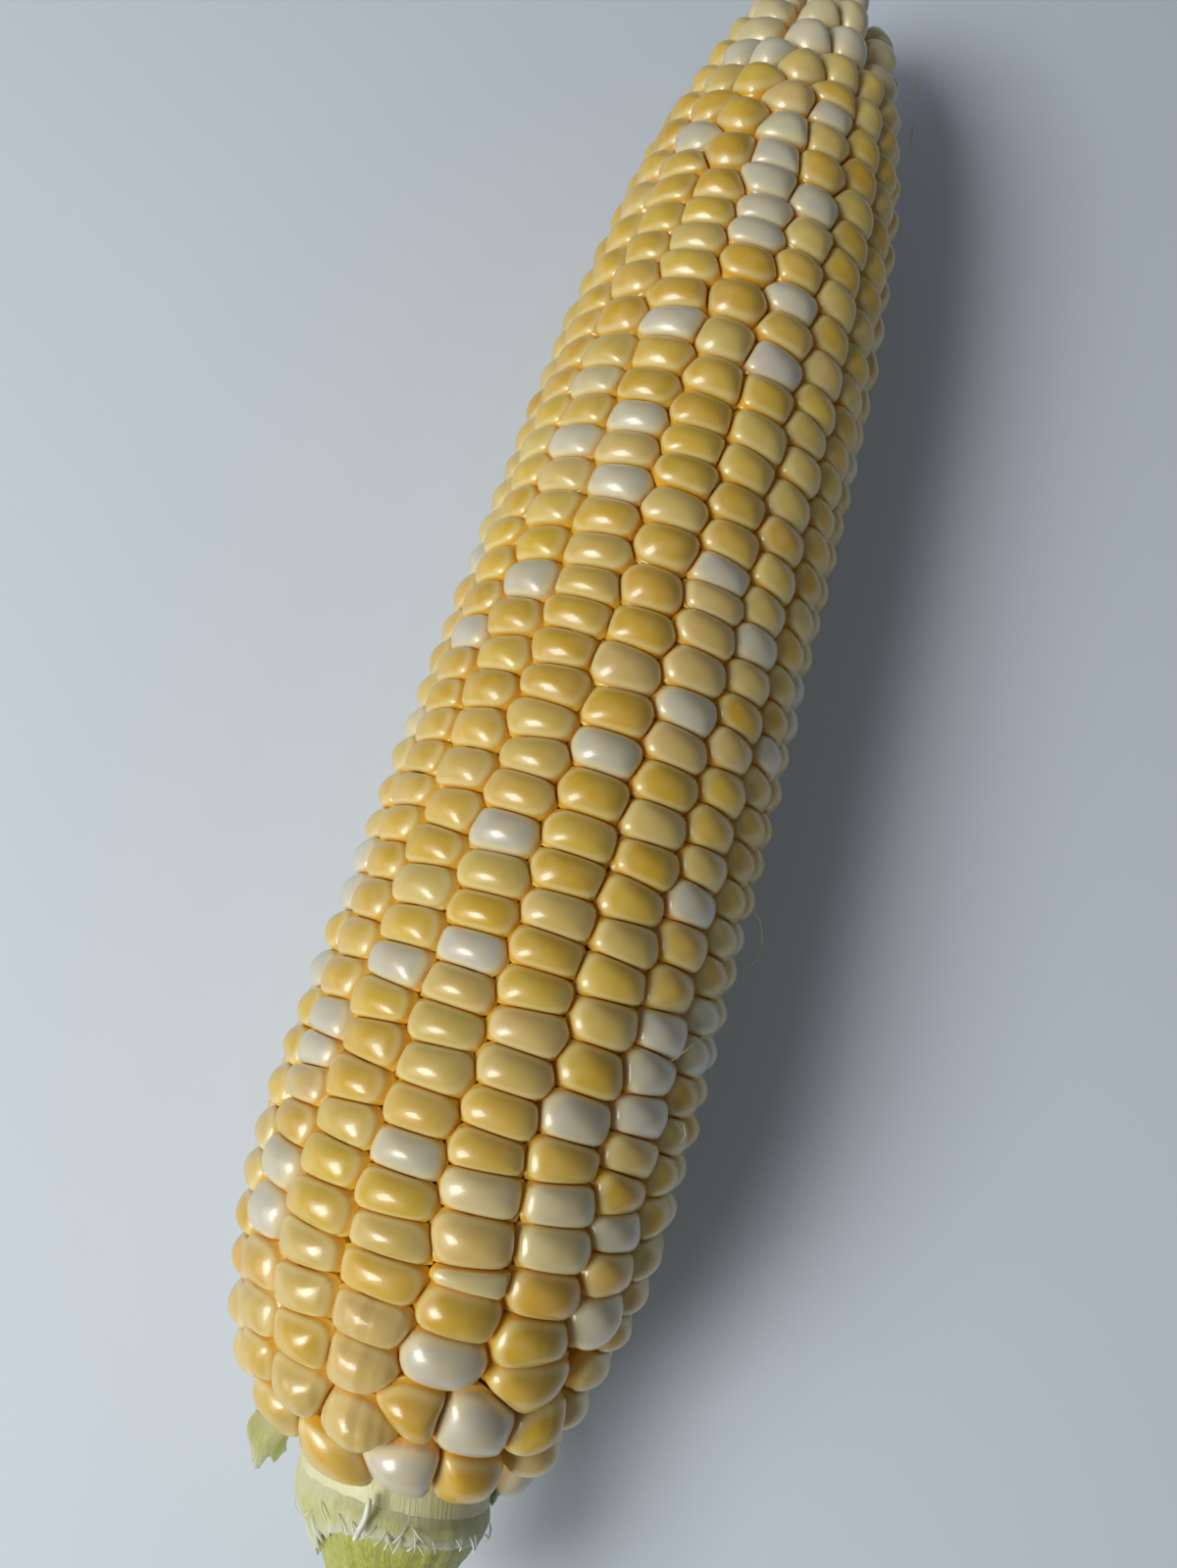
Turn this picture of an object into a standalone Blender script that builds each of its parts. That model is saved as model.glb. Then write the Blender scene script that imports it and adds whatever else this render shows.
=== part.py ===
"""A husked ear of bicolour sweetcorn, lying on its side.

Metres, +Z up. The ear is modelled along its own axis, from the first kernels at 0 to the tip, and
its parent empty then lays it down along +X, so that it rests on its lowest kernels at Z = 0.
"""

import math
import random

import bmesh
import bpy
import numpy as np
from mathutils import Matrix, Vector

EAR_LENGTH = 0.192  # along the axis, from the first kernels to the tip of the cob
EAR_DIAMETER = 0.046  # over the crowns of the kernels, at the widest
COB_DIAMETER = 0.0256  # under the kernels, at the widest
BASE_DIAMETER = 0.0200  # the swollen foot of the cob, where the husks grew
BASE_LENGTH = 0.0150  # of that foot, behind the first kernels
STALK_DIAMETER = 0.0108
STALK_LENGTH = 0.0110  # of the stub behind the foot
STALK_CHAMFER = 0.0006  # of its broken end

ROWS = 18
KERNEL_PITCH = 0.0041  # along a row, in the fat part of the ear
GROOVE_DEPTH = 0.0013  # between two kernels of a row
ROUNDING = 0.0004  # how far a kernel's ends draw in at each side
ROW_GAP = 0.0004
CLEARANCE = 0.0003
TWIST = math.radians(10)  # of the rows, from butt to tip
BALANCE = 0.43  # share of the length at which the ear balances

HUSK_THICKNESS = 0.0006
COLLAR_START = 0.0036  # behind the first kernels
COLLAR_LENGTH = 0.0075
COLLAR_SIDES = 36
COLLAR_RAGGED = 0.6  # how deep its torn edge cuts, as a share of its last stretch
SHRED_START = 0.0030  # behind the first kernels
SHRED_LENGTH = 0.0050
SHRED_GAP = 0.0007  # between the collar and a shred's root
SHRED_FLARE = 0.7  # how far a shred leans out, for each unit that it reaches back
SILK_DIAMETER = 0.00028
SILK_LIFT = 0.0004  # of the strands off the kernels' crowns

# Outlines along the axis: share of the ear's length, share of the radius.
CROWN_OUTLINE = (
    (-0.010, 0.52), (0.003, 0.62), (0.030, 0.78), (0.095, 0.95), (0.170, 1.00), (0.340, 0.975),
    (0.510, 0.935), (0.680, 0.875), (0.820, 0.745), (0.930, 0.535), (0.965, 0.42), (0.990, 0.29),
)
COB_OUTLINE = (
    (0.000, 0.80), (0.050, 0.93), (0.200, 1.00), (0.450, 0.95), (0.660, 0.84), (0.800, 0.65),
    (0.900, 0.50), (0.960, 0.38), (0.985, 0.24),
)
# The foot of the cob: share of its length behind the first kernels, share of the way from the
# stalk's radius out to the foot's.
FOOT_OUTLINE = ((0.26, 1.00), (0.40, 0.86), (0.56, 0.50), (0.75, 0.20), (1.00, 0.04))
# How long a kernel is along its row, against KERNEL_PITCH, by share of the row.
PITCH_BY_SHARE = ((0.00, 1.25), (0.12, 0.95), (0.30, 0.98), (0.60, 1.13), (0.85, 1.22), (1.00, 1.00))
ROW_ENDS = (0.985, 0.945)  # share of the crown outline that even and odd rows reach

# Silk strands: share of the length and degrees round from the top, point by point.
SILK_ROUTES = (
    ((0.328, 70), (0.322, 79), (0.308, 81), (0.292, 69)),
    ((0.233, 42), (0.247, 50), (0.256, 60), (0.261, 70)),
    ((0.194, 57), (0.204, 56), (0.213, 52)),
    ((0.350, 61), (0.356, 69), (0.361, 76)),
    ((0.905, 60), (0.925, 70), (0.945, 80)),
    ((0.870, 72), (0.888, 80), (0.908, 85)),
)

SEED = 7


def clear_scene():
    for obj in list(bpy.data.objects):
        bpy.data.objects.remove(obj, do_unlink=True)


def new_collection(name):
    collection = bpy.data.collections.new(name)
    bpy.context.scene.collection.children.link(collection)
    return collection


def new_material(name, colour, roughness):
    material = bpy.data.materials.new(name)
    material.use_nodes = True
    shader = material.node_tree.nodes["Principled BSDF"]
    shader.inputs["Base Color"].default_value = (*colour, 1)
    shader.inputs["Roughness"].default_value = roughness
    shader.inputs["Metallic"].default_value = 0
    return material


def new_object(name, mesh, material, collection, parent):
    obj = bpy.data.objects.new(name, mesh)
    mesh.materials.append(material)
    collection.objects.link(obj)
    obj.parent = parent
    return obj


def smooth_curve(points, steps=24):
    """Positions along a Catmull-Rom curve through the points, this many to each span."""
    held = np.array([points[0], *points, points[-1]], float)
    share = np.linspace(0, 1, steps, endpoint=False)[:, None]
    spans = []
    for a, b, c, d in zip(held, held[1:], held[2:], held[3:]):
        spans.append(
            b
            + 0.5 * share * (c - a)
            + share**2 * (a - 2.5 * b + 2 * c - 0.5 * d)
            + share**3 * (1.5 * b - 1.5 * c + 0.5 * d - 0.5 * a)
        )
    return np.vstack([*spans, held[-1:]])


class Meridian:
    """A smooth outline in a half-plane through the axis, as (height, radius) by distance run."""

    def __init__(self, outline, length, radius):
        self.points = smooth_curve([(share * length, part * radius) for share, part in outline])
        steps = np.linalg.norm(np.diff(self.points, axis=0), axis=1)
        self.run = np.concatenate(([0.0], np.cumsum(steps)))
        self.length = self.run[-1]

    def at(self, share):
        """(height, radius) at this share of the outline's own length."""
        return np.array([np.interp(share * self.length, self.run, column) for column in self.points.T])

    def radius_at(self, height):
        return np.interp(height, self.points[:, 0], self.points[:, 1])


CROWN = Meridian(CROWN_OUTLINE, EAR_LENGTH, EAR_DIAMETER / 2)
COB = Meridian(COB_OUTLINE, EAR_LENGTH, COB_DIAMETER / 2)


def foot_radius(share):
    """Radius of the cob's foot at this share of its length behind the first kernels."""
    stalk = STALK_DIAMETER / 2
    shares = [0.0] + [at for at, _ in FOOT_OUTLINE]
    radii = [COB.radius_at(0)]
    radii += [stalk + swell * (BASE_DIAMETER / 2 - stalk) for _, swell in FOOT_OUTLINE]
    return np.interp(share, shares, radii)


def around(height, radius, angle):
    """The point at this height and radius, at an angle round from the ear's upper side."""
    return Vector((-radius * math.cos(angle), -radius * math.sin(angle), height))


def row_angle(number, height):
    """Where the middle of a row runs, at this height. The rows wind a little round the cob."""
    return number * math.tau / ROWS + TWIST * (BALANCE - height / EAR_LENGTH)


def turned(name, outline, steps, material, collection, parent):
    """A turned solid from its outline, (height, radius) from top to bottom, axis to axis."""
    mesh = bpy.data.meshes.new(name)
    points = [(radius, 0, height) for height, radius in outline]
    mesh.from_pydata(points, [(i, i + 1) for i in range(len(points) - 1)], [])
    obj = new_object(name, mesh, material, collection, parent)
    screw = obj.modifiers.new("turn", "SCREW")
    screw.axis = "Z"
    screw.angle = math.tau
    screw.steps = screw.render_steps = steps
    screw.use_merge_vertices = True
    screw.merge_threshold = 1e-5
    return obj


def make_cob(collection, parent):
    """The cob with its swollen foot and the stub of its stalk, which grew as one piece."""
    material = new_material("cob flesh", (0.80, 0.80, 0.52), 0.5)
    tip = COB.points[-1]
    outline = [(tip[0] + tip[1] * 0.8, 0.0), (tip[0] + tip[1] * 0.5, tip[1] * 0.75)]
    outline += [tuple(COB.at(share)) for share in np.linspace(1, 0, 13)]
    outline += [(-BASE_LENGTH * at, foot_radius(at)) for at, _ in FOOT_OUTLINE]
    end = -BASE_LENGTH - STALK_LENGTH
    stalk = STALK_DIAMETER / 2
    outline += [(end + STALK_CHAMFER, stalk), (end, stalk - STALK_CHAMFER), (end, 0.0)]
    return turned("cob", outline, 24, material, collection, parent)


def kernel_marks(number):
    """Where a row's grooves and crowns lie, in turn, as shares of the crown outline."""
    draw = random.Random(SEED * 100 + number)
    stop = ROW_ENDS[number % 2]
    shares, lengths = zip(*PITCH_BY_SHARE)
    marks = [0.0]
    start = 0.010 * draw.random()
    while True:
        pitch = KERNEL_PITCH * np.interp(start, shares, lengths) * draw.uniform(0.92, 1.08)
        step = pitch / CROWN.length
        if start + step > stop:
            return marks
        marks += [start + step / 2, start + step]
        start += step


def row_section(number, share, is_groove):
    """Four corners of a row's section: two on the cob's side, then two on the crown's."""
    outer, inner = CROWN.at(share), COB.at(share)
    inner[1] += CLEARANCE
    half = math.pi / ROWS
    outer[1] /= math.cos(half)
    if is_groove:
        outer += (inner - outer) * GROOVE_DEPTH / np.linalg.norm(inner - outer)
    corners = []
    for (height, radius), draw_in in ((inner, 0), (outer, ROUNDING * is_groove)):
        middle = row_angle(number, height)
        reach = half - (ROW_GAP / 2 + draw_in) / radius
        corners.append(around(height, radius, middle - reach))
        corners.append(around(height, radius, middle + reach))
    return corners[0], corners[1], corners[3], corners[2]


def make_kernel_row(number, material, collection, parent):
    """One row of kernels, joined where they press together: a loft along the ear."""
    sections = [
        row_section(number, share, is_groove=i % 2 == 0)
        for i, share in enumerate(kernel_marks(number))
    ]
    made = bmesh.new()
    rings = [[made.verts.new(corner) for corner in section] for section in sections]
    for ring, after in zip(rings, rings[1:]):
        for i in range(4):
            made.faces.new((ring[i], ring[(i + 1) % 4], after[(i + 1) % 4], after[i]))
    made.faces.new(rings[0][::-1])
    made.faces.new(rings[-1])
    bmesh.ops.recalc_face_normals(made, faces=made.faces)
    name = f"kernel_row_{number + 1:02d}"
    mesh = bpy.data.meshes.new(name)
    made.to_mesh(mesh)
    made.free()
    return new_object(name, mesh, material, collection, parent)


def sheet(name, rows, closed, material, collection, parent):
    """A thin sheet from rows of points, thickened away from the axis."""
    made = bmesh.new()
    grid = [[made.verts.new(point) for point in row] for row in rows]
    across = len(grid[0])
    for row, after in zip(grid, grid[1:]):
        for i in range(across if closed else across - 1):
            j = (i + 1) % across
            made.faces.new((row[i], row[j], after[j], after[i]))
    mesh = bpy.data.meshes.new(name)
    made.to_mesh(mesh)
    made.free()
    obj = new_object(name, mesh, material, collection, parent)
    solidify = obj.modifiers.new("thickness", "SOLIDIFY")
    solidify.thickness = HUSK_THICKNESS
    solidify.offset = 1
    return obj


def make_husk_collar(material, collection, parent):
    """What is left of the husks: a torn ring that clings to the foot of the cob."""
    draw = random.Random(SEED)
    end = COLLAR_START + COLLAR_LENGTH
    bends = [BASE_LENGTH * at for at, _ in FOOT_OUTLINE]
    depths = [COLLAR_START] + [bend for bend in bends if COLLAR_START < bend < end] + [end]
    ragged = COLLAR_RAGGED * (end - depths[-2])
    rows = []
    for depth in depths:
        row = []
        for i in range(COLLAR_SIDES):
            torn = depth - ragged * draw.random() * (depth == end)
            radius = foot_radius(torn / BASE_LENGTH) + CLEARANCE
            row.append(around(-torn, radius, -math.tau * i / COLLAR_SIDES))
        rows.append(row)
    return sheet("husk_collar", rows, True, material, collection, parent)


def make_husk_shred(name, middle, width, reach, material, collection, parent):
    """A shred of husk that flares out and back from under the lowest kernels."""
    draw = random.Random(name)
    collar = foot_radius(SHRED_START / BASE_LENGTH) + CLEARANCE + HUSK_THICKNESS
    start = collar + SHRED_GAP
    rows = []
    for along in (0.0, 0.35, 0.7, 1.0):
        row = []
        for across in (-0.5, -0.25, 0.0, 0.25, 0.5):
            ragged = draw.uniform(0.7, 1.0) if along == 1.0 else along
            angle = math.radians(middle - width * across * (1 - 0.3 * along))
            back = reach * ragged
            row.append(around(-SHRED_START - back, start + SHRED_FLARE * back, angle))
        rows.append(row)
    return sheet(name, rows, False, material, collection, parent)


def make_silk_strand(number, route, material, collection, parent):
    """One strand of silk that lies on the crowns of the kernels."""
    lift = SILK_LIFT + SILK_DIAMETER / 2
    points = []
    for share, degrees in smooth_curve(route, steps=4):
        height = share * EAR_LENGTH
        radius = CROWN.radius_at(height) / math.cos(math.pi / ROWS) + lift
        points.append(around(height, radius, math.radians(degrees)))
    curve = bpy.data.curves.new(f"silk_strand_{number}", "CURVE")
    curve.dimensions = "3D"
    curve.bevel_depth = SILK_DIAMETER / 2
    curve.bevel_resolution = 2
    curve.use_fill_caps = True
    spline = curve.splines.new("POLY")
    spline.points.add(len(points) - 1)
    for point, place in zip(spline.points, points):
        point.co = (*place, 1)
    return new_object(curve.name, curve, material, collection, parent)


def lay_down(ear):
    """Turns the ear from upright to lying along +X, on its lowest kernels, over the origin."""
    reach = 0.1 * EAR_LENGTH
    near, far = (CROWN.radius_at(EAR_LENGTH * BALANCE + side * reach) for side in (-1, 1))
    drop = math.atan2(near - far, 2 * reach)
    turn = Matrix.Rotation(math.pi / 2 + drop, 4, "Y")
    graph = bpy.context.evaluated_depsgraph_get()
    lows, highs = [], []
    for obj in ear.children:
        corners = [turn @ vertex.co for vertex in obj.evaluated_get(graph).to_mesh().vertices]
        lows.append([min(corner[i] for corner in corners) for i in range(3)])
        highs.append([max(corner[i] for corner in corners) for i in range(3)])
    low, high = np.min(lows, axis=0), np.max(highs, axis=0)
    middle = (low + high) / 2
    ear.matrix_world = Matrix.Translation((-middle[0], -middle[1], -low[2])) @ turn


def main():
    clear_scene()
    collection = new_collection("Corn cob")
    ear = bpy.data.objects.new("ear", None)
    collection.objects.link(ear)
    kernels = new_material("kernels", (0.90, 0.68, 0.22), 0.3)
    husk = new_material("husk", (0.72, 0.80, 0.42), 0.6)
    silk = new_material("silk", (0.85, 0.78, 0.50), 0.5)
    make_cob(collection, ear)
    for number in range(ROWS):
        make_kernel_row(number, kernels, collection, ear)
    make_husk_collar(husk, collection, ear)
    make_husk_shred("husk_shred_left", -80, 40, SHRED_LENGTH, husk, collection, ear)
    make_husk_shred("husk_shred_right", 72, 22, SHRED_LENGTH * 0.6, husk, collection, ear)
    for number, route in enumerate(SILK_ROUTES, start=1):
        make_silk_strand(number, route, silk, collection, ear)
    lay_down(ear)


main()
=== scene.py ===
"""Looks of the husked ear of bicolour sweetcorn: every kernel, the cob, the torn husk and the silk."""

import math
import random

import bmesh
import bpy
import numpy as np
from mathutils import Matrix, Vector


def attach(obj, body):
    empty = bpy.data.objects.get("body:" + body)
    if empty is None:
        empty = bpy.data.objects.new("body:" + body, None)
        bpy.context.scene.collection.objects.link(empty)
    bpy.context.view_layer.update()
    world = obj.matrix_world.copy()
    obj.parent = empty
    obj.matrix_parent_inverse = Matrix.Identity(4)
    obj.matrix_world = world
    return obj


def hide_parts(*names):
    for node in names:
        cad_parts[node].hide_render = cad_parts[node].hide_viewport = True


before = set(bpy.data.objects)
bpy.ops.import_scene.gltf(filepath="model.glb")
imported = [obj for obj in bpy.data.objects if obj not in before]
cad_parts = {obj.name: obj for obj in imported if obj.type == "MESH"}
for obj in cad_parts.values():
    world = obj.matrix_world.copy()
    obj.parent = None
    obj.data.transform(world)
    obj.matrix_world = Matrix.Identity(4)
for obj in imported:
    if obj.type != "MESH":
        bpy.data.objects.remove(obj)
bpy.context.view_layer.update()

MM = 0.001

# The CAD's own sizes, in metres, which this file repeats because it can't read part.py.
EAR_LENGTH = 0.192
EAR_RADIUS = 0.023
COB_RADIUS = 0.0128
BASE_RADIUS = 0.0100
BASE_LENGTH = 0.0150
STALK_RADIUS = 0.0054
STALK_LENGTH = 0.0110
ROWS = 18
TWIST = math.radians(10)  # how far the rows wind round from end to end
BALANCE = 0.43  # share of the length where each row stands at its own angle
STALK_END = -BASE_LENGTH - STALK_LENGTH

# Outlines along the axis: share of the ear's length, share of the radius. The crown's is the
# CAD's, carried on round the butt and over the tip for the kernels that curl there.
CROWN_OUTLINE = (
    (-0.024, 0.32), (-0.018, 0.42), (-0.010, 0.52), (0.003, 0.62), (0.030, 0.78), (0.095, 0.95),
    (0.170, 1.00), (0.340, 0.975), (0.510, 0.935), (0.680, 0.875), (0.820, 0.745), (0.930, 0.535),
    (0.965, 0.42), (0.990, 0.29), (1.004, 0.17), (1.010, 0.08),
)
COB_OUTLINE = (
    (0.000, 0.80), (0.050, 0.93), (0.200, 1.00), (0.450, 0.95), (0.660, 0.84), (0.800, 0.65),
    (0.900, 0.50), (0.960, 0.38), (0.985, 0.24),
)
FOOT_OUTLINE = ((0.26, 1.00), (0.40, 0.86), (0.56, 0.50), (0.75, 0.20), (1.00, 0.04))

# Kernels, row by row from the butt. Each letter is a kernel: w white, c cream, p pale yellow,
# y yellow, g golden. A capital is a thick kernel and a mark after the letter a thin one. The
# numbers say where every tenth kernel sits, in millimetres along the axis, and the last one.
ROW_KERNELS = {
    -3: ("ypyWWg'p'w'wyyygyyg'y'gywgyygypyygyyyypygyyypccc", (6.5, 47.7, 87, 128, 182.5)),
    -2: ("ppyypggywypgypygygwgppwy'c'pGYyyy'ywGpwccw", (15, 53.8, 97.5, 142.7, 182.5)),
    -1: ("y'pywypppwgpwyppggg'ypywpwgywgypy'g'GGywcc", (18.5, 57, 97, 138.5, 178)),
    0: ("Pcy'yppygpgygwgpgGgpg'y'gyPGgw'w'wwwpPWcw", (24.1, 62.7, 107.5, 153.7, 183)),
    1: ("gccy'wGpyp'ygpgpwppp'w'ygypgwywypWgpw'y'PWCw", (21, 62.2, 102.8, 149.3, 184.5)),
    2: ("wyw'g'pw'wwyywpyypgpwppgppp'ypypggpgyppcc", (19.5, 60.3, 102, 147.5, 178)),
    3: ("pygypyypgwwypygypwgpypgyypygpypgygpyypcc", (9.1, 50.3, 92, 134, 178)),
}
ROW_NUMBERS = range(-3, ROWS - 3)  # row 0 is the one on top

# The large uneven kernels at the butt: row, tint, height in millimetres, degrees from the top,
# how much they crowd their neighbours in square millimetres, and how wrinkled they are.
BUTT_KERNELS = (
    (-3, "y", 2.5, -56, 0, 0.3),
    (-2, "p", 6.0, -35.5, 3, 1.0),
    (-2, "y", 10.6, -34, 0, 0.8),
    (-1, "y", 0.8, -29, 2, 0.0),
    (-1, "p", 4.6, -13, 9, 0.9),
    (-1, "p", 10.6, -15, 0, 1.0),
    (-1, "p", 14.7, -14.5, 0, 0.9),
    (0, "w", 2.0, 4, 7, 0.0),
    (0, "g", 7.8, 5, 0, 0.0),
    (0, "w", 13.0, 7.5, 2, 0.0),
    (1, "g", 2.0, 28.5, -1, 0.0),
    (1, "w", 7.8, 25.5, 9, 0.0),
    (1, "g", 12.0, 37, 3, 0.0),
    (1, "g", 16.4, 31, 0, 0.0),
    (2, "g", 8.0, 53, 0, 0.4),
    (3, "p", 4.6, 70, 0, 0.2),
    (0, "g", 17.4, 7.5, 0, 0.0),
    (0, "c", 20.7, 7.5, -11, 0.0),
)
THIN, THICK = 0.8, 1.25  # thickness of a marked and of a capital kernel, beside a plain one
STATION_STEP = 10  # kernels from one place that ROW_KERNELS gives to the next
HIDDEN_MIX = "yyyyppppggwwcyp"  # the far rows draw their tints from these
HIDDEN_KERNELS = 38
HIDDEN_TIP = "cccc"
HIDDEN_STARTS = (1.0, 5.5)  # where even and odd far rows start, in millimetres along the axis
HIDDEN_PLACES = (44, 86, 129.5, 183)
HIDDEN_SHIFT = 1.2  # millimetres that each of those places may be off
HEIGHT_JITTER, ANGLE_JITTER = 0.3, 1.3  # millimetres and degrees
WRINKLED_BEFORE = 24 * MM  # kernels past this height are smooth
WRINKLED_SHARE = 0.4  # of the kernels before it
WRINKLES = (0.5, 0.9)  # how wrinkled those are
SMOOTH_ROWS = (0, 1, 2, 3)
ROW_ENDS = (0.962, 0.985, 0.885)  # share of the ear's length that each of three rows in turn reaches
TIP_FROM, TIP_OVER = 0.84, 0.12  # shares of the ear's length over which its kernels turn into the tip's

SPREAD, SPREAD_SHIFT = math.radians(7.5), math.radians(3.5)  # how the rows spread near the butt
SPREAD_FROM, SPREAD_OVER = 34 * MM, 16 * MM  # the height where that starts, and how soon it is full
LEAN = 2.8 * MM  # how far the foot stands aside of the axis, beyond the kernels
LEAN_FROM, LEAN_OVER = 9 * MM, 15 * MM  # the height where that starts, and how soon it is full
STALK_LEAN = 2.4 * MM  # how much further its stalk does
STALK_LEAN_FROM, STALK_LEAN_OVER = -5 * MM, 10 * MM
END_FACE = 0.4 * MM  # the CAD's corners this near the stalk's end are on its end face

SEED = 11
KERNEL_SIDES = 32
NEIGHBOUR_REACH = 17 * MM
ROW_STRETCH = 1.5  # how much sooner kernels meet their neighbours along a row than across it
CROWN_CORNERS, RIM_CORNERS, FOOT_CORNERS = 2.5, 9.0, 24.0  # powers that round a kernel's outline
TIP_ROUNDING = 4.5  # taken off the rim's power at the tip
KERNEL_GAP = 0.02 * MM
FREE_WIDTH = 5.6 * MM  # half the size of a kernel that has no neighbour on that side
FREE_LENGTH = 3.6 * MM
LEAST_HALF = 0.5 * MM  # half the size of the smallest kernel
LEAST_DEPTH = 2.8 * MM
DEPTH_SHARE = 0.92  # of the way from a kernel's crown down to the cob
GROOVE_DEPTH = 0.84  # share of half a kernel's thickness
HALF_MOST = 3.2 * MM  # past this half thickness the grooves get no deeper
HALF_USUAL = 2.1 * MM  # half a usual kernel's thickness
# The groove's share of that depth towards the row's next kernels, and more of it towards the rows beside.
GROOVE_ALONG, GROOVE_BESIDE = 0.88, 0.34
GROOVE_AT_TIP = 0.5  # how much deeper it is at the ear's tip
GROOVE_VARIES = (0.94, 1.06)
# How square the dome is over a kernel's thickness, and how much more over its width.
DOME_POWER, DOME_BESIDE = 2.15, 0.4
DOME_VARIES = (0.96, 1.06)
TILT_ACROSS, TILT_ALONG = 0.03, 0.05  # the most that a crown slopes
RISE = (-0.15, 0.1)  # millimetres that a crown stands off the outline
THICK_RISE = 0.25  # added to it, as a share of what half the kernel is thicker than usual
NOISE_SPAN = 50  # the kernels read the noise at places this far apart at most
DOME_RINGS = (0.22, 0.42, 0.58, 0.71, 0.81, 0.89, 0.945, 0.98, 1.0)
SKIRT_RINGS = ((1.03, 0.995), (1.12, 1.03))  # share of the groove's depth, of the width
WALL_RINGS = ((0.38, 0.93), (0.68, 0.74), (0.88, 0.42))  # share of the depth left, of the width

TINTS = {
    "w": (0.575, 0.55, 0.445),
    "c": (0.63, 0.55, 0.33),
    "p": (0.62, 0.465, 0.140),
    "y": (0.64, 0.435, 0.064),
    "g": (0.60, 0.385, 0.036),
}
BRIGHT_SPREAD, GREEN_SPREAD, BLUE_SPREAD = 0.03, 0.025, 0.2  # how far a kernel's tint may be off
TIP_TINT = (0.60, 0.56, 0.40)
TIP_FADE = 0.4
LEAST_TINT, MOST_TINT = 0.02, 0.9

COB_SIDES = 96
COB_TOP = 184 * MM  # where the cob's even rings start, under its rounded tip
TIP_DOME = 0.9  # height of the cob's rounded tip, as a share of its radius
RIBS = ((26, 0.012, 1.0), (41, 0.010, 0.0))  # ribs round the foot: how many, how deep, how far turned
LUMPS = 0.005  # how uneven the foot is, as a share of its radius
RIBS_FROM, RIBS_OVER = -2 * MM, 4 * MM  # the height where they start, and how soon they are full
TEAR = 0.7 * MM  # how far the stalk's broken end falls short of its length, and how far it wavers
TEAR_ROUGHNESS = 0.2 * MM
STALK_CHAMFER = (0.93, 0.8, 0.6, 0.4, 0.2, 0.01)  # rings of the broken end, as shares of the radius

# Unfilled kernels on the bare tip, ring by ring: share of the ear's length, how many, millimetres.
OVULE_RINGS = ((0.955, 11, 1.5), (0.972, 9, 1.3), (0.985, 6, 1.1), (0.997, 1, 1.2))
OVULE_TOP = 188.5 * MM  # past this height they sit no further in
OVULE_OFF = 0.4 * MM

COLLAR_SIDES, COLLAR_RINGS = 180, 14
COLLAR_START = 1.7 * MM
COLLAR_THICKNESS = 0.3 * MM
COLLAR_SINK, COLLAR_STEP = 0.35, 0.50  # millimetres that it starts under the flesh, and then rises
COLLAR_SHORTEST = 2.9  # millimetres that it hangs in front
COLLAR_LEFT, COLLAR_FAR = 3.8, 2.0  # how much further at the left, and on the far side
LEFT_AT, LEFT_OVER = -72, 36  # degrees from the top to where the husk tore off last, and how wide that is
FOOT_ROUND = 9  # millimetres to a radian round the foot
SHRED_SIDES, SHRED_RINGS = 17, 10
SHRED_THICKNESS = 0.28 * MM

# Shreds of husk: name, CAD node, root as (height, aside, up), width and length.
SHREDS = (
    ("torn_husk_left", "husk_shred_left", (-0.0004, -0.0108, 0.0008), 0.0048, 0.0056),
    ("torn_husk_right", "husk_shred_right", (-0.0004, 0.0128, -0.0010), 0.0020, 0.0026),
)

STRAND_RADIUS = 0.1 * MM
SILK_THICKNESS = 0.8  # share of the strand's radius

# Strands of silk, each a route over the kernels: share of the ear's length, degrees round, mm off.
SILKS = (
    ((0.328, 70, 0.2), (0.326, 76, 1.0), (0.315, 83, 1.9), (0.304, 79, 1.5), (0.291, 67, 0.2)),
    ((0.233, 42, 0.2), (0.241, 46, 0.5), (0.249, 51, 0.5), (0.255, 58, 0.5), (0.259, 65, 0.2)),
    ((0.195, 56, 0.2), (0.200, 57, 0.4), (0.206, 55, 0.2)),
    ((0.352, 61, 0.2), (0.356, 67, 0.5), (0.358, 73, 0.2)),
    ((0.905, 68, 0.2), (0.922, 77, 1.4), (0.942, 82, 2.8), (0.960, 84, 4.6)),
    ((0.872, 74, 0.2), (0.882, 83, 1.5), (0.898, 87, 2.2), (0.914, 86, 2.6)),
)

FIBRES, FRONT_FIBRES = 34, 11
FRONT = (-6, 52)  # degrees round between which the front fibres stand
LONG_FIBRE = ((-1.5, 11.2, -10), (-2.9, 11.3, -10.5), (-4.1, 11.2, -12.5), (-5.2, 11.4, -14))

LIGHT_AIM = (0, 0, 0.01)
ROOM_COLOUR, ROOM_STRENGTH = (0.88, 0.93, 1.0, 1), 0.13

# The camera, in the ear's own directions: along it, up and to its right.
CAMERA_PLACE = (0.04088, 0.13424, -0.00398)
CAMERA_AIM = (0.07296, 0.0, 0.00024)
CAMERA_TOP = (0.9285, 0.2123, -0.3046)
CAMERA_LENS = 27.04


def eased(share):
    """A share from 0 to 1, carried smoothly."""
    return share * share * (3 - 2 * share)


def smooth_curve(points, steps=24):
    """Positions along a Catmull-Rom curve through the points, this many to each span."""
    held = np.array([points[0], *points, points[-1]], float)
    share = np.linspace(0, 1, steps, endpoint=False)[:, None]
    spans = []
    for a, b, c, d in zip(held, held[1:], held[2:], held[3:]):
        spans.append(
            b
            + 0.5 * share * (c - a)
            + share**2 * (a - 2.5 * b + 2 * c - 0.5 * d)
            + share**3 * (1.5 * b - 1.5 * c + 0.5 * d - 0.5 * a)
        )
    return np.vstack([*spans, held[-1:]])


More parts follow.
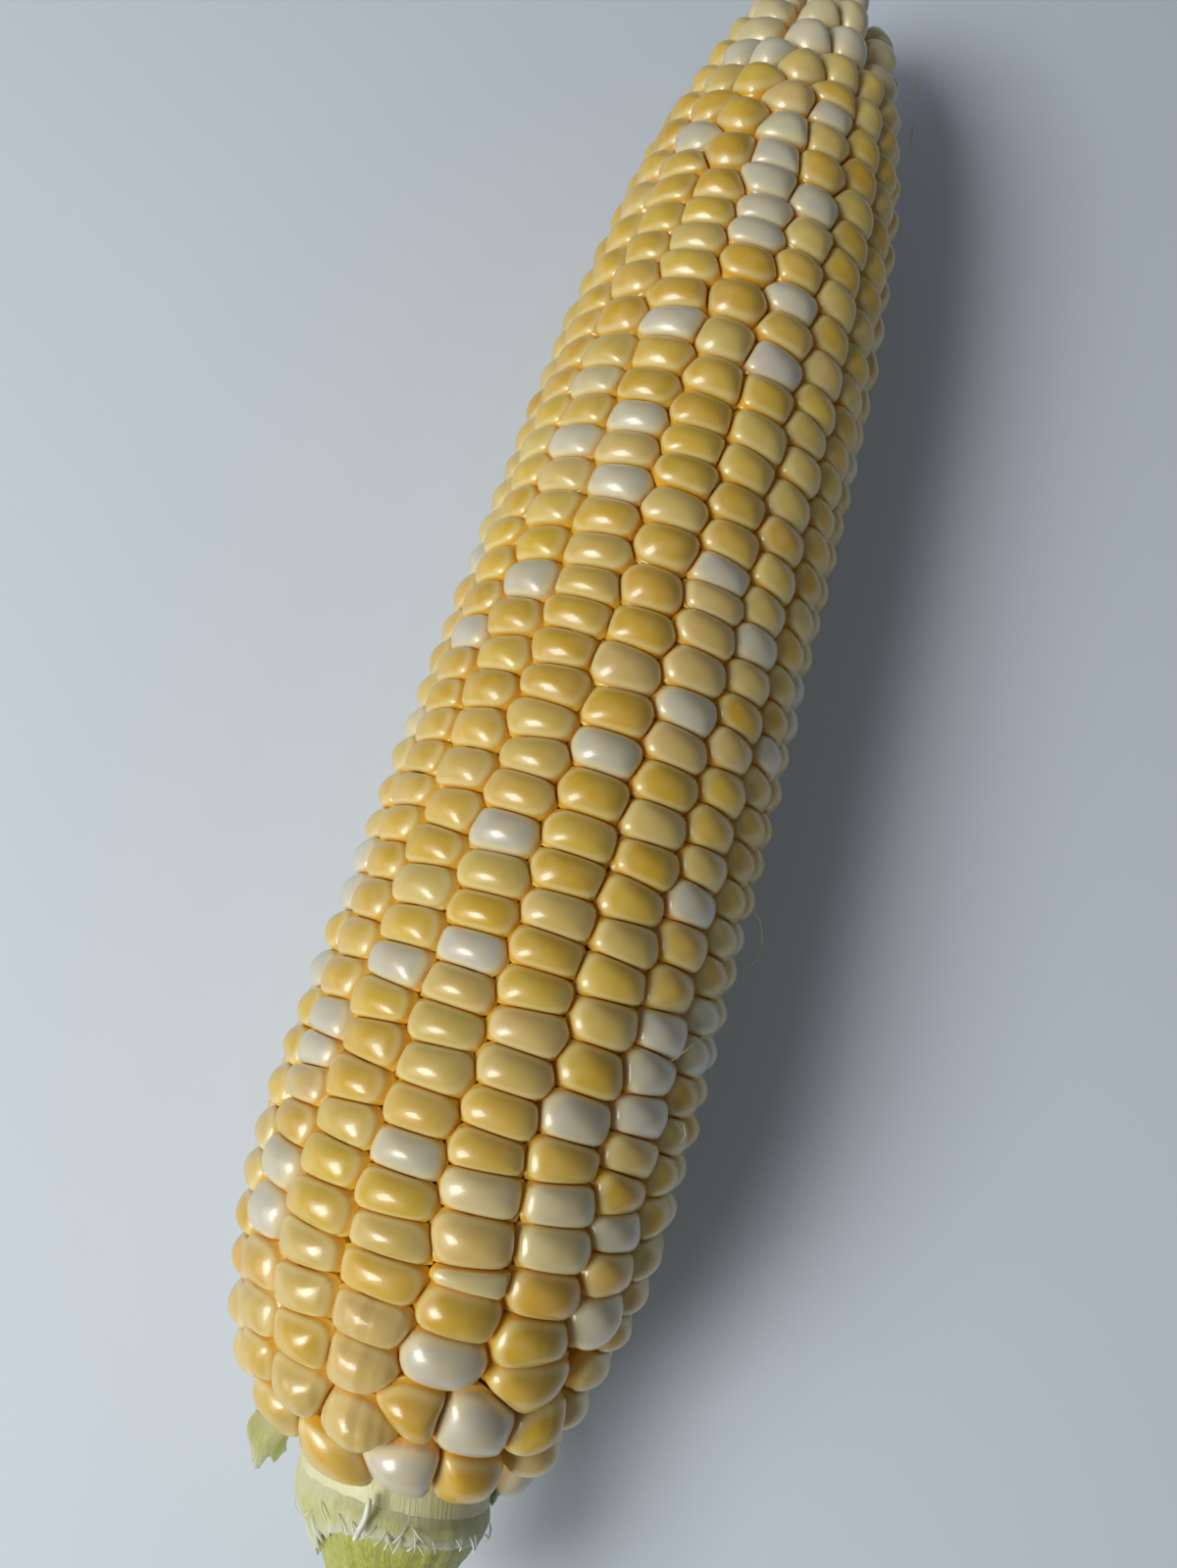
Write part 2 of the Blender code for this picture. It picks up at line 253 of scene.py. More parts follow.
class Meridian:
    """A smooth outline in a half-plane through the axis, read by the distance run along it."""

    def __init__(self, outline, radius):
        self.points = smooth_curve([(share * EAR_LENGTH, part * radius) for share, part in outline])
        steps = np.linalg.norm(np.diff(self.points, axis=0), axis=1)
        self.run = np.concatenate(([0.0], np.cumsum(steps)))
        along = np.gradient(self.points, self.run, axis=0)
        along /= np.linalg.norm(along, axis=1)[:, None]
        self.outward = np.stack([-along[:, 1], along[:, 0]], axis=1)

    def run_at(self, height):
        return np.interp(height, self.points[:, 0], self.run)

    def radius_at(self, height):
        return np.interp(height, self.points[:, 0], self.points[:, 1])

    def at(self, run, lift=0.0):
        """(height, radius) at this distance along, this far off the outline."""
        height, radius = (np.interp(run, self.run, column) for column in self.points.T)
        lean, rise = (np.interp(run, self.run, column) for column in self.outward.T)
        return height + lean * lift, radius + rise * lift


CROWN = Meridian(CROWN_OUTLINE, EAR_RADIUS)
COB = Meridian(COB_OUTLINE, COB_RADIUS)


class Ear:
    """Where the ear lies: its axis, from the ends of the CAD's cob, and its upper side."""

    def __init__(self):
        corners = np.array([vertex.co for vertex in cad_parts["cob"].data.vertices])
        first = corners[:, 0].min()
        stalk_end = corners[corners[:, 0] < first + END_FACE].mean(axis=0)
        tip = corners[corners[:, 0].argmax()]
        self.axis = (tip - stalk_end) / np.linalg.norm(tip - stalk_end)
        self.start = stalk_end + self.axis * (BASE_LENGTH + STALK_LENGTH)
        up = np.array([0.0, 0.0, 1.0])
        up -= self.axis * (up @ self.axis)
        self.up = up / np.linalg.norm(up)
        self.right = np.cross(self.axis, self.up)

    def point(self, height, up, right):
        """A point at this height, this far up and to the right of the axis."""
        return self.start + self.axis * height + self.up * up + self.right * right

    def lean(self, height):
        """How far aside the middle of the ear is at this height: the stalk stands off the axis."""
        foot = np.clip((LEAN_FROM - height) / LEAN_OVER, 0, 1)
        stalk = np.clip((STALK_LEAN_FROM - height) / STALK_LEAN_OVER, 0, 1)
        return LEAN * eased(foot) + STALK_LEAN * eased(stalk)

    def around(self, height, radius, angle):
        """Points at these heights and radii, at angles round from the upper side."""
        height, radius, angle = np.broadcast_arrays(height, radius, angle)
        return (
            self.start
            + height[..., None] * self.axis
            + (radius * np.cos(angle))[..., None] * self.up
            + (radius * np.sin(angle) + self.lean(height))[..., None] * self.right
        )


EAR = Ear()


def row_angle(row, height):
    """Where the middle of a row runs, at this height.

    The rows wind a little round the cob, and spread apart on its upper side near the butt.
    """
    angle = row * math.tau / ROWS + TWIST * (BALANCE - height / EAR_LENGTH)
    near = np.clip((SPREAD_FROM - height) / SPREAD_OVER, 0, 1)
    return angle + eased(near) * (SPREAD_SHIFT + SPREAD * math.sin(angle))


def foot_radius(share):
    """Radius of the cob's foot at this share of its length behind the first kernels."""
    shares = [0.0] + [at for at, _ in FOOT_OUTLINE]
    radii = [COB.radius_at(0)]
    radii += [STALK_RADIUS + swell * (BASE_RADIUS - STALK_RADIUS) for _, swell in FOOT_OUTLINE]
    return np.interp(share, shares, radii)


# ---------------------------------------------------------------- where the kernels sit


class Kernel:
    """One kernel: its row and place, its tint, how it crowds its neighbours and how wrinkled it is."""

    def __init__(self, row, height, angle, letter, weight, wrinkled):
        self.row = row
        self.run = float(CROWN.run_at(height))
        self.height = height
        self.angle = angle
        self.letter = letter
        self.weight = weight
        self.wrinkled = wrinkled


def hidden_row(row, draw):
    """Letters and places for a row that lies on the far side."""
    letters = "".join(draw.choice(HIDDEN_MIX) for _ in range(HIDDEN_KERNELS)) + HIDDEN_TIP
    places = (HIDDEN_STARTS[row % 2], *HIDDEN_PLACES)
    return letters, [at + draw.uniform(-HIDDEN_SHIFT, HIDDEN_SHIFT) for at in places]


def row_sizes(letters):
    """(tint letter, thickness) of each kernel that the letters and their marks name."""
    sizes = []
    for letter in letters:
        if letter == "'":
            sizes[-1] = (sizes[-1][0], THIN)
        else:
            sizes.append((letter.lower(), THICK if letter.isupper() else 1.0))
    return sizes


def wrinkles_of(row, height, draw):
    """How wrinkled a kernel is: some near the butt are, but none in the smooth rows."""
    if height >= WRINKLED_BEFORE or draw.random() >= WRINKLED_SHARE:
        return 0.0
    wrinkled = draw.uniform(*WRINKLES)
    return 0.0 if row in SMOOTH_ROWS else wrinkled


def lay_row(row, letters, places, draw):
    """The kernels of one row, set apart by their thickness."""
    sizes = row_sizes(letters)
    thick = np.array([size for _, size in sizes])
    beside = np.concatenate(([0.0], np.cumsum((thick[1:] + thick[:-1]) / 2)))
    stations = [min(STATION_STEP * i, len(sizes) - 1) for i in range(len(places))]
    heights = MM * np.interp(beside, beside[stations], places)
    kernels = []
    for (tint, _), height in zip(sizes, heights):
        height += draw.uniform(-HEIGHT_JITTER, HEIGHT_JITTER) * MM
        angle = row_angle(row, height) + math.radians(draw.uniform(-ANGLE_JITTER, ANGLE_JITTER))
        wrinkled = wrinkles_of(row, height, draw)
        if height < EAR_LENGTH * ROW_ENDS[row % len(ROW_ENDS)]:
            kernels.append(Kernel(row, height, angle, tint, 0.0, wrinkled))
    return kernels


def lay_kernels():
    """Every kernel of the ear, row by row."""
    draw = random.Random(SEED)
    kernels = []
    for row in ROW_NUMBERS:
        letters, places = ROW_KERNELS[row] if row in ROW_KERNELS else hidden_row(row, draw)
        kernels += lay_row(row, letters, places, draw)
    for row, tint, height, degrees, weight, wrinkled in BUTT_KERNELS:
        angle = math.radians(degrees)
        kernels.append(Kernel(row, height * MM, angle, tint, weight * MM * MM, wrinkled))
    return kernels


# ---------------------------------------------------------------- the shape of a kernel


def tip_share(height):
    """0 along the ear, and 1 at its tip, where the kernels are paler and bulge more."""
    return np.clip((height / EAR_LENGTH - TIP_FROM) / TIP_OVER, 0, 1)


def kernel_reach(kernel, others, directions):
    """How far the kernel's crown, rim and foot reach each way before they meet its neighbours."""
    radius = CROWN.at(kernel.run)[1]
    turn = (others["angle"] - kernel.angle + math.pi) % math.tau - math.pi
    apart = np.stack([radius * turn, ROW_STRETCH * (others["run"] - kernel.run)], axis=1)
    far = np.linalg.norm(apart, axis=1)
    near = (far > 1e-6) & (far < NEIGHBOUR_REACH)
    apart, far, weight = apart[near], far[near], others["weight"][near]
    limit = far / 2 + (kernel.weight - weight) / (2 * far) - KERNEL_GAP
    normals = np.vstack([apart / far[:, None], [[1, 0], [-1, 0], [0, 1], [0, -1]]])
    free = [FREE_WIDTH, FREE_WIDTH, FREE_LENGTH * ROW_STRETCH, FREE_LENGTH * ROW_STRETCH]
    limit = np.maximum(np.concatenate([limit, free]), LEAST_HALF)
    press = np.maximum(directions @ normals.T / limit, 0)
    corners = (CROWN_CORNERS, RIM_CORNERS - TIP_ROUNDING * tip_share(kernel.height), FOOT_CORNERS)
    return [(press**power).sum(axis=1) ** (-1 / power) for power in corners]


def kernel_rings(reach, groove, power, depth):
    """The kernel's rings from its crown down to the cob: how wide, how far down and how near its rim."""
    crown, rim, foot = reach
    even = np.ones_like(rim)
    rings = [(0 * even, 0 * even, 0 * even)]
    for share in DOME_RINGS:
        width = share * (crown + (rim - crown) * share**3)
        drop = groove * (1 - (1 - share**power) ** (1 / power))
        rings.append((width, drop, share * even))
    for down, wide in SKIRT_RINGS:
        rings.append((wide * foot, groove * down, even))
    skirt = SKIRT_RINGS[-1][0] * groove
    for down, wide in WALL_RINGS:
        rings.append((wide * foot, skirt + (depth - skirt) * down, even))
    return [np.array(column) for column in zip(*rings)]


def kernel_points(kernel, reach, directions, draw):
    """The kernel's points, ring by ring, and what its material reads there."""
    foot = reach[-1]
    middle_height, radius = CROWN.at(kernel.run)
    depth = max(LEAST_DEPTH, DEPTH_SHARE * (radius - COB.radius_at(middle_height)))
    quarter = len(directions) // 4
    half = (foot[quarter] + foot[-quarter]) / (2 * ROW_STRETCH)
    beside = directions[:, 0] ** 2
    groove = GROOVE_DEPTH * min(half, HALF_MOST) * draw.uniform(*GROOVE_VARIES)
    groove = groove * (GROOVE_ALONG + GROOVE_BESIDE * beside)
    groove *= 1 + GROOVE_AT_TIP * tip_share(kernel.height)
    power = (DOME_POWER + DOME_BESIDE * beside) * draw.uniform(*DOME_VARIES)
    tilt_across = draw.uniform(-TILT_ACROSS, TILT_ACROSS)
    tilt_along = draw.uniform(-TILT_ALONG, TILT_ALONG)
    rise = draw.uniform(*RISE) * MM + THICK_RISE * (half - HALF_USUAL)
    reaches, drops, edges = kernel_rings(reach, groove, power, depth)
    across = reaches * directions[:, 0]
    along = reaches * directions[:, 1] / ROW_STRETCH
    tilt = (tilt_across * across + tilt_along * along) * (drops <= groove)
    height, out = CROWN.at(kernel.run + along, rise - drops + tilt)
    points = EAR.around(height, out, kernel.angle + across / radius)
    wrinkled = np.full_like(across, kernel.wrinkled)
    own = np.full_like(across, draw.uniform(0, NOISE_SPAN))
    form = np.stack([edges, np.clip(drops / groove, 0, 3), wrinkled], axis=-1)
    place = np.stack([across / MM, along / MM, own], axis=-1)
    return points, form, place


def ring_faces(rings, sides, first):
    """Faces between rings of points, with a fan over the first point and one under the last ring."""
    faces = []
    for i in range(sides):
        j = (i + 1) % sides
        faces.append((first, first + 1 + i, first + 1 + j))
        for ring in range(rings - 1):
            a = first + 1 + ring * sides
            faces.append((a + i, a + sides + i, a + sides + j, a + j))
    last = first + 1 + (rings - 1) * sides
    faces.append(tuple(last + i for i in range(sides))[::-1])
    return faces


def smooth_mesh(name, points, faces):
    """A smooth-shaded mesh whose faces all point out."""
    mesh = bpy.data.meshes.new(name)
    mesh.from_pydata([tuple(point) for point in points], [], faces)
    mesh.validate()
    made = bmesh.new()
    made.from_mesh(mesh)
    bmesh.ops.recalc_face_normals(made, faces=made.faces)
    made.to_mesh(mesh)
    made.free()
    mesh.shade_smooth()
    return mesh


def add_vectors(mesh, name, values):
    """Gives each point of the mesh three numbers, which its material reads by this name."""
    attribute = mesh.attributes.new(name, "FLOAT_VECTOR", "POINT")
    attribute.data.foreach_set("vector", np.asarray(values, np.float32).ravel())


def new_piece(name, data, material, *nodes):
    """A piece of the ear, which rides on its one body and stands for CAD nodes."""
    piece = bpy.data.objects.new(name, data)
    bpy.context.scene.collection.objects.link(piece)
    data.materials.append(material)
    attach(piece, "root")
    if nodes:
        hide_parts(*nodes)
    return piece


def tinted(kernel, draw):
    """The kernel's own colour: its letter's tint, a little off, and paler towards the tip."""
    tint = np.array(TINTS[kernel.letter])
    depth = 1 - tint[2] / tint[0]
    bright = 1 + draw.gauss(0, BRIGHT_SPREAD)
    green = 1 + depth * draw.gauss(0, GREEN_SPREAD)
    blue = 1 + depth * draw.gauss(0, BLUE_SPREAD)
    tint = tint * bright * (1, green, blue)
    tint = tint + (np.array(TIP_TINT) - tint) * TIP_FADE * tip_share(kernel.height)
    return np.clip(tint, LEAST_TINT, MOST_TINT)


def make_kernels(material):
    """Each kernel of the ear as its own closed shape, one piece for each row."""
    kernels = lay_kernels()
    others = {
        key: np.array([getattr(kernel, key) for kernel in kernels]) for key in ("run", "angle", "weight")
    }
    turns = np.linspace(0, math.tau, KERNEL_SIDES, endpoint=False)
    directions = np.stack([np.cos(turns), np.sin(turns)], axis=1)
    rings = len(DOME_RINGS) + len(SKIRT_RINGS) + len(WALL_RINGS)
    for row in ROW_NUMBERS:
        points, faces, forms, places, tints = [], [], [], [], []
        for kernel in (kernel for kernel in kernels if kernel.row == row):
            draw = random.Random(f"{row} {kernel.height:.5f}")
            reach = kernel_reach(kernel, others, directions)
            shape, form, place = kernel_points(kernel, reach, directions, draw)
            faces += ring_faces(rings, KERNEL_SIDES, len(points))
            tint = tinted(kernel, draw)
            for values, kept in ((shape, points), (form, forms), (place, places)):
                kept.append(values[0, 0])
                kept.extend(values[1:].reshape(-1, 3))
            tints += [tint] * (1 + rings * KERNEL_SIDES)
        number = row % ROWS + 1
        mesh = smooth_mesh(f"kernels_{number:02d}", points, faces)
        add_vectors(mesh, "form", forms)
        add_vectors(mesh, "place", places)
        add_vectors(mesh, "tint", tints)
        piece = new_piece(mesh.name, mesh, material, f"kernel_row_{number:02d}")


# ---------------------------------------------------------------- materials


class Nodes:
    """A short way to write a material's node tree."""

    def __init__(self, name):
        self.material = bpy.data.materials.new(name)
        self.material.use_nodes = True
        self.tree = self.material.node_tree
        self.shader = self.tree.nodes["Principled BSDF"]

    def put(self, socket, value):
        if isinstance(value, bpy.types.NodeSocket):
            self.tree.links.new(value, socket)
        else:
            socket.default_value = value

    def attribute(self, name):
        node = self.tree.nodes.new("ShaderNodeAttribute")
        node.attribute_name = name
        return node.outputs["Vector"]

    def parts(self, vector):
        node = self.tree.nodes.new("ShaderNodeSeparateXYZ")
        self.put(node.inputs[0], vector)
        return node.outputs

    def math(self, operation, a, b):
        node = self.tree.nodes.new("ShaderNodeMath")
        node.operation = operation
        self.put(node.inputs[0], a)
        self.put(node.inputs[1], b)
        return node.outputs[0]

    def ramp(self, value, low, high, to_low=0.0, to_high=1.0):
        """The value carried smoothly from low..high to to_low..to_high."""
        node = self.tree.nodes.new("ShaderNodeMapRange")
        node.interpolation_type = "SMOOTHSTEP"
        for socket, given in zip(node.inputs, (value, low, high, to_low, to_high)):
            self.put(socket, given)
        return node.outputs[0]

    def mix(self, share, a, b):
        node = self.tree.nodes.new("ShaderNodeMix")
        node.data_type = "RGBA"
        self.put(node.inputs["Factor"], share)
        for socket, colour in ((node.inputs[6], a), (node.inputs[7], b)):
            self.put(socket, (*colour, 1) if isinstance(colour, tuple) else colour)
        return node.outputs[2]

    def noise(self, vector, scale, detail=2.0, roughness=0.5):
        node = self.tree.nodes.new("ShaderNodeTexNoise")
        self.put(node.inputs["Vector"], vector)
        node.inputs["Scale"].default_value = scale
        node.inputs["Detail"].default_value = detail
        node.inputs["Roughness"].default_value = roughness
        return node.outputs["Fac"]

    def where(self):
        return self.tree.nodes.new("ShaderNodeTexCoord").outputs["Object"]

    def stretched(self, vector, scale):
        node = self.tree.nodes.new("ShaderNodeMapping")
        self.put(node.inputs["Vector"], vector)
        node.inputs["Scale"].default_value = scale
        return node.outputs[0]

    def bump(self, height, strength, distance):
        node = self.tree.nodes.new("ShaderNodeBump")
        self.put(node.inputs["Height"], height)
        node.inputs["Strength"].default_value = strength
        node.inputs["Distance"].default_value = distance
        self.put(self.shader.inputs["Normal"], node.outputs[0])

    def finish(self, colour, roughness, **settings):
        self.put(self.shader.inputs["Base Color"], colour)
        self.put(self.shader.inputs["Roughness"], roughness)
        for name, value in settings.items():
            self.shader.inputs[name.replace("_", " ")].default_value = value
        return self.material


def kernel_material():
    """Kernel skin: glossy and translucent, deep in the middle, pale at the rim with a painted glow of
    light through it there, and a painted amber glow and shade in the grooves.
    """
    nodes = Nodes("kernel skin")
    place = nodes.attribute("place")
    edge, down, wrinkled = nodes.parts(nodes.attribute("form"))
    pale, deep = (0.74, 0.60, 0.29), (0.60, 0.37, 0.03)
    pale_rim_and_painted_glow, painted_groove_glow_and_shade = (0.84, 0.70, 0.36), (0.82, 0.43, 0.03)
    cloud = nodes.noise(place, 0.5, 2.0)
    body = nodes.mix(nodes.ramp(cloud, 0.35, 0.7, 0.0, 0.20), nodes.attribute("tint"), pale)
    body = nodes.mix(nodes.ramp(edge, 0.2, 0.8, 0.14, 0.0), body, deep)
    # Partly painted glow: the band just inside the rim is mixed halfway to a pale colour. Part is the
    # skin's own paler edge, part is painted light shining through the kernel there.
    rim = nodes.math("MULTIPLY", nodes.ramp(down, 0.28, 0.55), nodes.ramp(down, 0.58, 0.82, 1.0, 0.0))
    body = nodes.mix(nodes.math("MULTIPLY", rim, 0.5), body, pale_rim_and_painted_glow)
    # Painted glow and shade: towards the groove bottoms the skin turns amber. This stands in for light
    # shining through the kernels and for the deep orange of shade between them.
    body = nodes.mix(nodes.ramp(down, 0.60, 1.02, 0.0, 0.92), body, painted_groove_glow_and_shade)
    wrinkles = nodes.noise(nodes.stretched(place, (0.85, 0.07, 1.0)), 1.0, 0.0)
    grain = nodes.math("MULTIPLY", nodes.noise(place, 5.0, 3.0), 0.05)
    nodes.bump(nodes.math("ADD", nodes.math("MULTIPLY", wrinkles, wrinkled), grain), 0.7, 0.00045)
    return nodes.finish(
        body,
        nodes.ramp(cloud, 0.3, 0.7, 0.28, 0.38),
        Subsurface_Weight=0.6,
        Subsurface_Radius=(1.0, 0.55, 0.18),
        Subsurface_Scale=0.0026,
        Specular_IOR_Level=0.5,
        Coat_Weight=0.55,
        Coat_Roughness=0.15,
    )


def cob_material():
    """The cob's flesh: pale and wet at the foot, green down the stalk, with fine lengthwise fibres."""
    nodes = Nodes("cob flesh")
    place = nodes.attribute("place")
    height = nodes.parts(place)[0]
    fibres = nodes.noise(nodes.stretched(place, (0.12, 14.0, 1.0)), 2.2, 4.0, 0.6)
    cloud = nodes.noise(nodes.where(), 260.0, 3.0)
    foot = nodes.mix(nodes.ramp(cloud, 0.3, 0.7), (0.64, 0.62, 0.30), (0.72, 0.71, 0.42))
    green = nodes.mix(nodes.ramp(fibres, 0.3, 0.7), (0.36, 0.37, 0.045), (0.52, 0.53, 0.13))
    flesh = nodes.mix(nodes.ramp(height, -6.5, -3.2, 1.0, 0.0), foot, green)
    flesh = nodes.mix(nodes.ramp(height, 176.0, 184.0), flesh, (0.66, 0.60, 0.30))
    nodes.bump(fibres, 0.6, 0.0002)
    return nodes.finish(
        flesh,
        0.42,
        Subsurface_Weight=0.3,
        Subsurface_Radius=(0.9, 0.8, 0.3),
        Subsurface_Scale=0.002,
        Coat_Weight=0.15,
        Coat_Roughness=0.25,
    )


def husk_material():
    """Torn husk: pale green, whiter towards its frayed edge, with fine parallel veins."""
    nodes = Nodes("torn husk")
    place = nodes.attribute("place")
    edge = nodes.parts(place)[2]
    veins = nodes.noise(nodes.stretched(place, (0.15, 9.0, 0.0)), 2.0, 3.0, 0.6)
    cloud = nodes.noise(nodes.where(), 330.0, 3.0)
    leaf = nodes.mix(nodes.ramp(veins, 0.3, 0.7), (0.50, 0.53, 0.13), (0.68, 0.70, 0.30))
    leaf = nodes.mix(nodes.ramp(cloud, 0.35, 0.7, 0.0, 0.6), leaf, (0.72, 0.74, 0.46))
    leaf = nodes.mix(nodes.ramp(edge, 0.1, 0.5, 0.8, 0.0), leaf, (0.72, 0.71, 0.42))
    leaf = nodes.mix(nodes.ramp(edge, 0.6, 1.0, 0.0, 0.75), leaf, (0.80, 0.82, 0.64))
    nodes.bump(veins, 0.7, 0.00025)
    return nodes.finish(
        leaf,
        0.5,
        Subsurface_Weight=0.25,
        Subsurface_Radius=(0.8, 0.9, 0.4),
        Subsurface_Scale=0.0015,
        Sheen_Weight=0.2,
    )


def fibre_material(name, light, dark):
    """A thin pale stuff, clouded between two colours."""
    nodes = Nodes(name)
    cloud = nodes.noise(nodes.where(), 900.0, 2.0)
    colour = nodes.mix(nodes.ramp(cloud, 0.3, 0.7), light, dark)
    return nodes.finish(colour, 0.45, Subsurface_Weight=0.15, Subsurface_Scale=0.0005)


def floor_material():
    """Pale matt paper, faintly clouded."""
    nodes = Nodes("pale floor")
    cloud = nodes.noise(nodes.where(), 3.0, 2.0)
    colour = nodes.mix(nodes.ramp(cloud, 0.3, 0.7), (0.70, 0.775, 0.865), (0.73, 0.805, 0.895))
    return nodes.finish(colour, 0.9, Specular_IOR_Level=0.1)


# ---------------------------------------------------------------- cob, husk and silk


def grid_faces(rows, across, closed):
    """Faces between rows of points, which meet round the back if closed."""
    faces = []
    for i in range(rows - 1):
        for j in range(across if closed else across - 1):
            k = (j + 1) % across
            faces.append((i * across + j, i * across + k, (i + 1) * across + k, (i + 1) * across + j))
    return faces


def cob_outline():
    """(height, radius) of the cob from its tip down to the broken end of its stalk."""
    tip, tip_radius = COB.points[-1]
    dome = TIP_DOME * tip_radius
    outline = [(tip + dome, 0.01 * MM)]
    outline += [(tip + dome * math.sqrt(1 - part**2), tip_radius * part) for part in (0.35, 0.72, 1)]
    outline += [(height, COB.radius_at(height)) for height in np.linspace(COB_TOP, 0.0, 60)]
    outline += [(-BASE_LENGTH * share, foot_radius(share)) for share in np.linspace(0.03, 1.0, 26)]
    for share in np.linspace(0.1, 0.95, 10):
        radius = STALK_RADIUS * (1 + 0.03 * math.sin(5 * share))
        outline.append((-BASE_LENGTH - STALK_LENGTH * share, radius))
    return outline + [(STALK_END, STALK_RADIUS * part) for part in STALK_CHAMFER]


def make_cob(material):
    """The cob with its foot and the broken stub of its stalk, ribbed and a little uneven."""
    draw = np.random.default_rng(SEED)
    angles = np.linspace(0, math.tau, COB_SIDES, endpoint=False)
    ribs = sum(depth * np.sin(count * angles + turn) for count, depth, turn in RIBS)
    points, places = [], []
    outline = cob_outline()
    for height, radius in outline:
        lumps = draw.normal(0, 1, COB_SIDES)
        ribbed = np.clip((RIBS_FROM - height) / RIBS_OVER, 0, 1)
        torn = 0 * angles
        if height <= STALK_END:
            torn = TEAR * (1 + np.sin(3 * angles + 1.2) * radius / STALK_RADIUS) + TEAR_ROUGHNESS * lumps
        wobble = 1 + ribbed * (ribs + LUMPS * lumps)
        points.extend(EAR.around(height + torn, radius * wobble, angles))
        places.extend(np.stack([0 * angles + height / MM, angles, 0 * angles + radius / MM], axis=1))
    faces = grid_faces(len(outline), COB_SIDES, True)
    faces.append(tuple(range(COB_SIDES)))
    faces.append(tuple(range(len(points) - COB_SIDES, len(points)))[::-1])
    mesh = smooth_mesh("cob_and_stalk", points, faces)
    add_vectors(mesh, "place", places)
    new_piece("cob_and_stalk", mesh, material, "cob")


def make_tip_ovules(material):
    """The cob's bare tip: tiny kernels that never filled, in rings and one at the end."""
    draw = random.Random(SEED + 1)
    made = bmesh.new()
    for ring, (share, count, size) in enumerate(OVULE_RINGS):
        height = EAR_LENGTH * share
        radius = COB.radius_at(min(height, OVULE_TOP)) + OVULE_OFF if count > 1 else 0.0
        for i in range(count):
            angle = math.tau * (i + 0.5 * (ring % 2)) / count + draw.uniform(-0.1, 0.1)
            place = Vector(EAR.around(height, radius, angle))
            scale = size * MM * draw.uniform(0.85, 1.15)
            matrix = Matrix.Translation(place) @ Matrix.Diagonal((scale, scale * 0.9, scale, 1))
            bmesh.ops.create_uvsphere(made, u_segments=16, v_segments=10, radius=1.0, matrix=matrix)
    mesh = bpy.data.meshes.new("tip_ovules")
    made.to_mesh(mesh)
    made.free()
    mesh.shade_smooth()
    new_piece("tip_ovules", mesh, material)


def thick_sheet(name, rows, places, closed, thickness, material, *nodes):
    """A thin sheet through rows of points, given its thickness and softened."""
    across = len(rows[0])
    points = [point for row in rows for point in row]
    mesh = smooth_mesh(name, points, grid_faces(len(rows), across, closed))
    add_vectors(mesh, "place", [place for row in places for place in row])
    piece = new_piece(name, mesh, material, *nodes)
    solidify = piece.modifiers.new("thickness", "SOLIDIFY")
    solidify.thickness = thickness
    solidify.offset = 0
    soften = piece.modifiers.new("soften", "SUBSURF")
    soften.levels = soften.render_levels = 1


def left_share(angle):
    """How much an angle belongs to the left side, where the husk tore off last."""
    return math.exp(-(((math.degrees(angle) - LEFT_AT) / LEFT_OVER) ** 2))


def collar_length(angle):
    """How far the collar hangs at this angle: short in front, long and torn at the left."""
    far = 0.5 - 0.5 * math.cos(angle)
    ragged = 0.6 + 0.4 * math.sin(5 * angle + 0.7)
    return (COLLAR_SHORTEST + COLLAR_LEFT * left_share(angle) + COLLAR_FAR * far * ragged) * MM


def make_husk_collar(material):
    """The torn ring of husk that clings to the foot, its lower edge frayed."""
    draw = random.Random(SEED + 2)
    frays = [draw.random() for _ in range(COLLAR_SIDES)]
    rows, places = [], []
    for down in np.linspace(0, 1, COLLAR_RINGS):
        row, place = [], []
        for i in range(COLLAR_SIDES):
            angle = math.tau * (i / COLLAR_SIDES - 0.5)
            left = left_share(angle)
            length = collar_length(angle) + (0.5 + 1.5 * left) * MM * frays[i]
            depth = COLLAR_START + length * down
            step = COLLAR_STEP * min(1, 2.2 * down) - COLLAR_SINK
            flare = (0.1 + 0.8 * left) * down**3 * frays[(i * 7) % COLLAR_SIDES]
            pleat = 0.06 * MM * math.sin(31 * angle) * down
            radius = foot_radius(depth / BASE_LENGTH) + (step + flare) * MM + pleat
            row.append(EAR.around(-depth, radius, angle))
            place.append((depth / MM, angle * FOOT_ROUND, down))
        rows.append(row)
        places.append(place)
    thick_sheet("torn_husk_collar", rows, places, True, COLLAR_THICKNESS, material, "husk_collar")


def make_husk_shred(name, node, root, width, length, material):
    """A ragged scrap of husk that hangs from under the lowest kernels."""
    draw = random.Random(name)
    height, right, up = root
    tears = [draw.uniform(0.55, 1.0) for _ in range(SHRED_SIDES)]
    rows, places = [], []
    for down in np.linspace(0, 1, SHRED_RINGS):
        row, place = [], []
        for i in range(SHRED_SIDES):
            side = i / (SHRED_SIDES - 1) - 0.5
            back = length * down * tears[i] * (1 - 0.5 * abs(side))
            aside = right + width * (side * (1 - 0.15 * down) - 0.12 * math.sin(3 * down))
            curl = 0.9 * MM * math.sin(5 * side + 2 * down) + 0.5 * MM * down * tears[i]
            row.append(EAR.point(height - back, up + curl, aside))
            place.append((down * 5, side * 8, down))
        rows.append(row)
        places.append(place)
    thick_sheet(name, rows, places, False, SHRED_THICKNESS, material, node)


def strand(curve, points, thickness, ends=0.25):
    """One thin strand through the points, tapered to this share of its thickness at both ends."""
    spline = curve.splines.new("POLY")
    path = smooth_curve(points, steps=6)
    spline.points.add(len(path) - 1)
    last = len(path) - 1
    for i, (point, place) in enumerate(zip(spline.points, path)):
        point.co = (*place, 1)
        point.radius = thickness * min(1.0, ends + 4 * min(i, last - i) / last)


